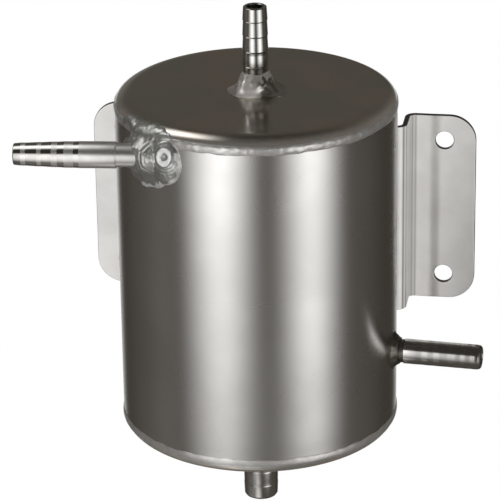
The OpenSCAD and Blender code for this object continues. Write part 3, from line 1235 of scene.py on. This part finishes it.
inletWeld = {
    "alongHalf": (20, 20),
    "alongSteps": 200,
    "lowest": 103,
    "highest": 134,
    "upSteps": 170,
    "deep": 0.9,
    "wander": 0.7,
    "ripple": 0.24,
    "rippleAt": 6.2,
    "rippleWide": 2.6,
    "rippleLong": 1.55,
    "craterAt": (-10.4, 120.2),
    "craterRing": 2.4,
    "craterFrost": (1.35, 3.1),
    "fringe": 1.15,  # the pool's thin edge, frosted over on its lower right side
    "shoulder": 0.07,  # fine rings on the last bead's shoulder
    "grain": 0.1,
    "frost": 0.05,
}
footAngle = math.radians(180 + tailPlaces["inletSwing"]) + math.asin(tailPlaces["inletOffset"] / tankR)


def tankProfile(s):
    # radius, height and outward direction at a distance s up the wall, over the pressed edge and in over the lid
    edgeW, edgeH = canShape["edgeWide"], canShape["edgeHigh"]
    start = tankHigh - edgeH
    if s <= start:
        return tankR, s, 1.0, 0.0
    quarter = math.pi / 4 * (3 * (edgeW + edgeH) - math.sqrt((3 * edgeW + edgeH) * (edgeW + 3 * edgeH)))
    if s < start + quarter:
        # equal steps of the quarter ellipse's angle are close enough to equal lengths here
        a = (s - start) / quarter * math.pi / 2
        nr, nz = math.cos(a) / edgeW, math.sin(a) / edgeH
        size = math.hypot(nr, nz)
        return tankR - edgeW + edgeW * math.cos(a), start + edgeH * math.sin(a), nr / size, nz / size
    return tankR - edgeW - (s - start - quarter), tankHigh, 0.0, 1.0


def dome(along, s, at, radii, high, power=0.7):
    far = ((along - at[0]) / radii[0]) ** 2 + ((s - at[1]) / radii[1]) ** 2
    return high * np.sign(1 - far) * np.abs(1 - far) ** power


def softMax(a, b, blend):
    # smooth union of two heights
    h = np.clip(0.5 + 0.5 * (a - b) / blend, 0, 1)
    return b * (1 - h) + a * h + blend * h * (1 - h)


def craterReach(along, s):
    # distance from the crater's middle, a little longer up the wall than along it
    return np.hypot((along - inletWeld["craterAt"][0]) * 1.1, (s - inletWeld["craterAt"][1]) * 0.95)


def inletHeights(along, s):
    wobble = np.zeros_like(along)
    fine = np.zeros_like(along)
    frost = np.zeros_like(along)
    for index in np.ndindex(along.shape):
        spot = Vector((along[index] / 3.0, s[index] / 3.0, 0.7))
        wobble[index] = noise.noise(spot)
        fine[index] = noise.noise(spot * 2.6)
        frost[index] = noise.noise(spot * 4.6)
    wander = inletWeld["wander"]
    a, u = along + wander * wobble, s + wander * np.roll(wobble, 7, 0)
    pool = dome(a, u, (1.0, 117.2), (15.2, 11.4), 2.6)
    bead = dome(along + 0.25 * wobble, s, (-8.2, 117.4), (7.3, 8.6), 3.3, 0.6)
    lobe = dome(a, u, (11.5, 125.0), (5.5, 5.0), 1.6)
    rim = dome(a, u, (-2.0, 126.5), (9.0, 4.0), 1.2)
    height = softMax(softMax(pool, lobe, 0.8), rim, 0.8)
    ripple = np.hypot(along + 9.6, (s - 119.2))
    left = 1 / (1 + np.exp((-(along + 4.0)) / 1.0))
    fading = np.exp(-((ripple - inletWeld["rippleAt"]) / inletWeld["rippleWide"]) ** 2)
    height = height + inletWeld["ripple"] * np.sin(ripple / inletWeld["rippleLong"] * 2 * math.pi) * left * fading * (height > 0.3)
    hollow = np.exp(-(((along - 12.3) / 3.2) ** 2 + ((s - 123.2) / 3.8) ** 2))
    height = height - 2.2 * hollow
    aside = (along - 6.7) * 0.79 + (s - 122.8) * 0.61
    down = (along - 6.7) * 0.61 - (s - 122.8) * 0.79
    ridge = 0.9 * np.exp(-((aside / 1.1) ** 2)) - 0.5 * np.exp(-(((aside + 2.2) / 0.9) ** 2))
    height = height + ridge * np.exp(-((down / 4.0) ** 2)) * (height > 0)
    climb = np.hypot((along - 0.9) / 1.25, s - 117.7)
    height = height + 3.2 * np.exp(-((np.maximum(0, climb - 3.4)) / 2.5) ** 2) * (height > 0)
    height = softMax(height, bead, 0.35)
    ring = craterReach(along, s)
    crater = 0.5 * np.exp(-((ring - inletWeld["craterRing"]) / 0.8) ** 2) - 0.9 * np.exp(-((ring / 1.5) ** 2))
    height = height + crater * (bead > 0)
    height = height + inletWeld["shoulder"] * np.sin(ring / 1.15 * 2 * math.pi) * np.exp(-(((ring - 4.6) / 1.3) ** 2))
    height = height + (inletWeld["grain"] * fine + inletWeld["frost"] * frost) * (height > 0.2)
    return np.clip(height, -0.6, None)


def makeInletWeld():
    left, right = inletWeld["alongHalf"]
    columns, rows = inletWeld["alongSteps"] + 1, inletWeld["upSteps"] + 1
    across = np.linspace(-right, left, columns)
    upward = np.linspace(inletWeld["lowest"], inletWeld["highest"], rows)
    along, s = np.meshgrid(across, upward, indexing="ij")
    height = inletHeights(along, s)
    top, under = [], []
    for i in range(columns):
        angle = footAngle - along[i, 0] / tankR
        ring = Vector((math.cos(angle), math.sin(angle), 0))
        for j in range(rows):
            radius, level, outward, rise = tankProfile(s[i, j])
            foot = ring * radius + Vector((0, 0, level))
            way = ring * outward + Vector((0, 0, rise))
            top.append(tankPlace @ (foot + way * height[i, j]))
            under.append(tankPlace @ (foot - way * inletWeld["deep"]))
    points = top + under
    count = columns * rows
    faces = []
    for i in range(columns - 1):
        for j in range(rows - 1):
            a, b, c, d = i * rows + j, (i + 1) * rows + j, (i + 1) * rows + j + 1, i * rows + j + 1
            faces.append((a, d, c, b))
            faces.append((a + count, b + count, c + count, d + count))
    border = list(range(rows)) + [i * rows + rows - 1 for i in range(1, columns)]
    border += [(columns - 1) * rows + j for j in range(rows - 2, -1, -1)]
    border += [i * rows for i in range(columns - 2, 0, -1)]
    for k, a in enumerate(border):
        b = border[(k + 1) % len(border)]
        faces.append((a, a + count, b + count, b))
    weld = addPiece("inletWeldPool", points, faces, poolWeld, ("inlet_tail_weld",))
    weld.data.materials.append(craterMetal)
    weld.data.materials.append(fringeMetal)
    reach = craterReach(along, s)
    frostFrom, frostTo = inletWeld["craterFrost"]
    for face in weld.data.polygons:
        first = min(face.vertices)
        if first < count:
            i, j = first // rows, first % rows
            wave = noise.noise(Vector((across[i] / 2.2, upward[j] / 2.2, 4.4)))
            if frostFrom < reach[i, j] + 0.3 * wave < frostTo:
                face.material_index = 1
            elif across[i] < 3 + 4 * wave and upward[j] < 122 and height[i, j] < inletWeld["fringe"] * (1 + wave):
                face.material_index = 2
    cutHole(weld, inletPlace, 20, 60, tailRoot - 0.1)


makeInletWeld()
print("surge tank: inlet weld laid")

# Bracket

bracketShape = {
    "sheet": 2.0,
    "wide": 148.0,
    "high": 75.0,
    "joggle": 14.6,
    "webX": 49.0,
    "foldR": 2.0,
    "cornerR": 10.0,
    "pitchX": 124.0,
    "pitchZ": 55.0,
    "holeR": 3.5,
    "edgeRound": 0.42,
    "cell": 2.0,
    "bow": 0.12,  # the fold leaves each flange bowed a little beside it
    "bowAt": 5.8,
    "bowWide": 2.2,
}


def bracketPath(u, half):
    # place and outward direction of the sheet's middle at a developed distance u from the centre line
    sheet, foldR = bracketShape["sheet"], bracketShape["foldR"]
    mid = foldR + sheet / 2
    outer = foldR + sheet
    panelY = -bracketShape["joggle"] - sheet / 2
    flat = bracketShape["webX"] - outer
    bend = mid * math.pi / 2
    web = bracketShape["joggle"] + sheet - 2 * outer
    side = 1 if u >= 0 else -1
    u = abs(u)
    if u <= flat:
        x, y, nx, ny = u, panelY, 0, -1
    elif u <= flat + bend:
        a = (u - flat) / mid
        x, y = flat + mid * math.sin(a), panelY + mid * (1 - math.cos(a))
        nx, ny = math.sin(a), -math.cos(a)
    elif u <= flat + bend + web:
        x, y = flat + mid, panelY + mid + (u - flat - bend)
        nx, ny = 1, 0
    elif u <= flat + 2 * bend + web:
        a = (u - flat - bend - web) / mid
        x, y = flat + mid + mid * (1 - math.cos(a)), panelY + mid + web + mid * math.sin(a)
        nx, ny = math.cos(a), -math.sin(a)
    else:
        reach = u - flat - 2 * bend - web
        bow = bracketShape["bow"] * math.exp(-(((reach - bracketShape["bowAt"]) / bracketShape["bowWide"]) ** 2))
        x, y, nx, ny = flat + 2 * mid + reach, -sheet / 2 - bow, 0, -1
    return side * x, y, side * nx, ny


def makeBracket():
    shape = bracketShape
    outer = shape["foldR"] + shape["sheet"]
    mid = shape["foldR"] + shape["sheet"] / 2
    bend = mid * math.pi / 2
    flat = shape["webX"] - outer
    web = shape["joggle"] + shape["sheet"] - 2 * outer
    flange = shape["wide"] / 2 - (flat + 2 * mid)
    half = flat + 2 * bend + web + flange
    toFlange = half - shape["wide"] / 2  # a flange's place along the blank, less its x
    data = bpy.data.curves.new("bracketBlank", "CURVE")
    data.dimensions = "2D"
    data.fill_mode = "BOTH"
    data.extrude = shape["sheet"] / 2 - shape["edgeRound"]
    data.bevel_depth = shape["edgeRound"]
    data.bevel_resolution = 2
    data.offset = -shape["edgeRound"]
    corner, tall = shape["cornerR"], shape["high"] / 2
    outline = []
    for x, z, start in ((1, 1, 0), (-1, 1, 90), (-1, -1, 180), (1, -1, 270)):
        for i in range(13):
            a = math.radians(start + 90 * i / 12)
            outline.append((x * (half - corner) + corner * math.cos(a), z * (tall - corner) + corner * math.sin(a)))
    loops = [outline]
    for x in (-1, 1):
        for z in (-1, 1):
            cx, cz = x * (shape["pitchX"] / 2 + toFlange), z * shape["pitchZ"] / 2
            ring = [2 * math.pi * i / 48 for i in range(48)]
            loops.append([(cx + shape["holeR"] * math.cos(a), cz - shape["holeR"] * math.sin(a)) for a in ring])
    for loop in loops:
        spline = data.splines.new("POLY")
        spline.points.add(len(loop) - 1)
        for point, (u, v) in zip(spline.points, loop):
            point.co = (u, v, 0, 1)
        spline.use_cyclic_u = True
    blank = bpy.data.objects.new("bracketBlank", data)
    bpy.context.scene.collection.objects.link(blank)
    bpy.context.view_layer.update()
    mesh = bpy.data.meshes.new_from_object(blank.evaluated_get(bpy.context.evaluated_depsgraph_get()))
    bpy.data.objects.remove(blank)
    bpy.data.curves.remove(data)
    form = bmesh.new()
    form.from_mesh(mesh)
    bmesh.ops.remove_doubles(form, verts=form.verts, dist=1e-4)
    cuts = []
    steps = int(2 * half / shape["cell"])
    cuts += [(-half + 2 * half * i / steps, 0) for i in range(1, steps)]
    for side in (-1, 1):
        for start in (flat, flat + bend + web):
            cuts += [(side * (start + bend * i / 10), 0) for i in range(11)]
    rises = int(2 * tall / shape["cell"])
    cuts += [(-tall + 2 * tall * i / rises, 1) for i in range(1, rises)]
    for where, way in cuts:
        spot, normal = ((where, 0, 0), (1, 0, 0)) if way == 0 else ((0, where, 0), (0, 1, 0))
        everything = form.verts[:] + form.edges[:] + form.faces[:]
        bmesh.ops.bisect_plane(form, geom=everything, dist=1e-5, plane_co=spot, plane_no=normal)
    form.normal_update()
    for face in form.faces:
        facing = face.normal.z
        face.material_index = 0 if facing > 0.8 else 2 if facing < -0.8 else 1
    for vertex in form.verts:
        u, v, t = vertex.co
        x, y, nx, ny = bracketPath(u, half)
        vertex.co = Vector((x + nx * t, y + ny * t, v)) * mm
    bmesh.ops.recalc_face_normals(form, faces=form.faces)
    mesh.materials.clear()
    mesh.materials.append(rolledSheet)
    mesh.materials.append(shearedEdge)
    mesh.materials.append(rearSheet)
    form.to_mesh(mesh)
    form.free()
    piece = bpy.data.objects.new("foldedBracket", mesh)
    bpy.context.scene.collection.objects.link(piece)
    finishPiece(piece, ("mounting_bracket",))


makeBracket()
print("surge tank: bracket folded")

for node in ("bracket_top_weld", "bracket_bottom_weld"):
    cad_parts[node].data.materials.clear()
    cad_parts[node].data.materials.append(laidWeld)
